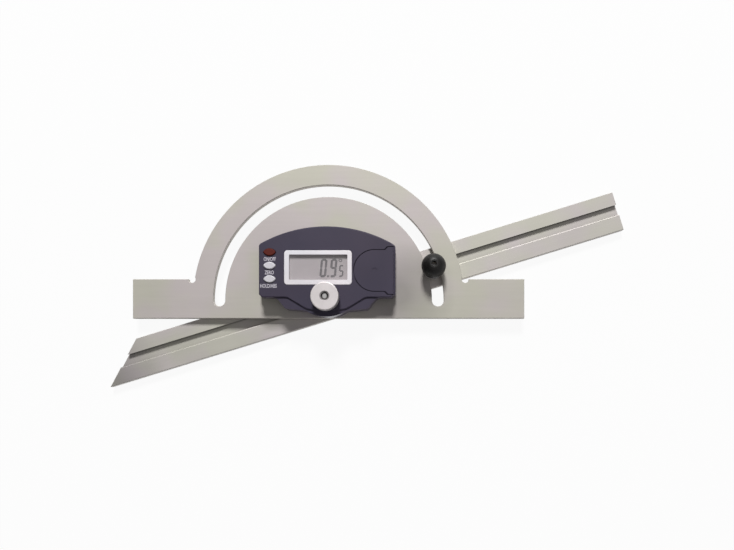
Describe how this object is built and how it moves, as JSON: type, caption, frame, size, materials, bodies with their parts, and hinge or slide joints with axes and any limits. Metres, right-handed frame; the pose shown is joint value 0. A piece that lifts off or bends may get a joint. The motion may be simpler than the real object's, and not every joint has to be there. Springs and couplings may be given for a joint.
{
  "type": "bevel protractor",
  "caption": "Digital bevel protractor: slotted half-disc stock plate with display housing and a grooved blade that swings, slides and locks behind it.",
  "frame": {"origin": "pivot axis at the rear face of the blade, which is the plane the tool lies on", "axes": "+X along the stock bar, +Y towards the top of the arc, +Z out of the display"},
  "size_m": [0.2868, 0.123, 0.0239],
  "materials": {
    "ground_steel": "fine ground stainless steel",
    "blade_steel": "fine ground stainless steel, lengthwise grain",
    "bolt_steel": "turned steel",
    "nut_metal": "satin turned metal",
    "bronze": "sintered bronze",
    "brass": "turned brass",
    "sensor_board": "circuit board with copper sectors",
    "circuit_green": "solder mask",
    "chip_black": "moulded epoxy",
    "contact_metal": "plated spring strip",
    "cell_can": "nickel-plated can",
    "connector_rubber": "layered silicone rubber",
    "lcd_grey": "grey reflective display",
    "clear_window": "clear acrylic",
    "bezel_white": "white moulded plastic",
    "housing_plastic": "fine-textured dark violet-grey plastic",
    "knob_black": "moulded phenolic",
    "key_red": "silicone key",
    "key_white": "silicone key"
  },
  "bodies": {
    "frame": {"protractor_plate": "ground_steel", "pivot_bush": "bronze", "case_back": "housing_plastic", "case_front": "housing_plastic", "case_screws": "bolt_steel", "display_bezel": "bezel_white", "display_window": "clear_window", "lcd_panel": "lcd_grey", "zebra_strips": "connector_rubber", "circuit_board": "circuit_green", "controller_chip": "chip_black", "stator_disc": "sensor_board", "sensor_pins": "contact_metal", "coin_cell": "cell_can", "minus_contact": "contact_metal", "plus_contact": "contact_metal", "key_domes": "contact_metal"},
    "turntable": {"pivot_bolt": "bolt_steel", "rotor_hub": "brass", "rotor_disc": "sensor_board", "lock_bolt": "bolt_steel"},
    "blade": {"blade": "blade_steel"},
    "clamp_washer": {"clamp_washer": "bolt_steel"},
    "clamp_nut": {"clamp_nut": "nut_metal"},
    "lock_washer": {"lock_washer": "bolt_steel"},
    "lock_knob": {"lock_knob": "knob_black", "knob_insert": "brass"},
    "power_button": {"power_button": "key_red"},
    "zero_button": {"zero_button": "key_white"},
    "hold_button": {"hold_button": "key_white"},
    "battery_cover": {"battery_cover": "housing_plastic"}
  },
  "joints": [
    {"name": "blade_swing", "type": "hinge", "parent": "frame", "child": "turntable", "pos_m": [0, 0, 0], "axis": [0, 0, 1], "range_deg": [-17.07, 162.93]},
    {"name": "blade_slide", "type": "slide", "parent": "turntable", "child": "blade", "axis": [0.9559, 0.2935, 0], "range_m": [-0.095, 0.1]},
    {"name": "clamp_washer_lift", "type": "slide", "parent": "turntable", "child": "clamp_washer", "axis": [0, 0, 1], "range_m": [0, 0.0005249]},
    {"name": "clamp_nut_turn", "type": "hinge", "parent": "clamp_washer", "child": "clamp_nut", "pos_m": [0, 0, 0.0206], "axis": [0, 0, 1], "range_deg": [0, 270]},
    {"name": "lock_washer_lift", "type": "slide", "parent": "turntable", "child": "lock_washer", "axis": [0, 0, 1], "range_m": [0, 0.0005999]},
    {"name": "lock_knob_turn", "type": "hinge", "parent": "lock_washer", "child": "lock_knob", "pos_m": [0.05783, 0.01776, 0.0136], "axis": [0, 0, 1], "range_deg": [0, 270]},
    {"name": "power_button_press", "type": "slide", "parent": "frame", "child": "power_button", "axis": [0, 0, -1], "range_m": [0, 0.0004], "stiffness_N_per_m": 600, "springref_m": -0.0002},
    {"name": "zero_button_press", "type": "slide", "parent": "frame", "child": "zero_button", "axis": [0, 0, -1], "range_m": [0, 0.0004], "stiffness_N_per_m": 600, "springref_m": -0.0002},
    {"name": "hold_button_press", "type": "slide", "parent": "frame", "child": "hold_button", "axis": [0, 0, -1], "range_m": [0, 0.0004], "stiffness_N_per_m": 600, "springref_m": -0.0002},
    {"name": "battery_cover_slide", "type": "slide", "parent": "frame", "child": "battery_cover", "axis": [1, 0, 0], "range_m": [0, 0.01]}
  ],
  "couplings": [
    {"joint": "clamp_nut_turn", "follows": "clamp_washer_lift", "rad_per_m": 8976},
    {"joint": "lock_knob_turn", "follows": "lock_washer_lift", "rad_per_m": 7854}
  ]
}
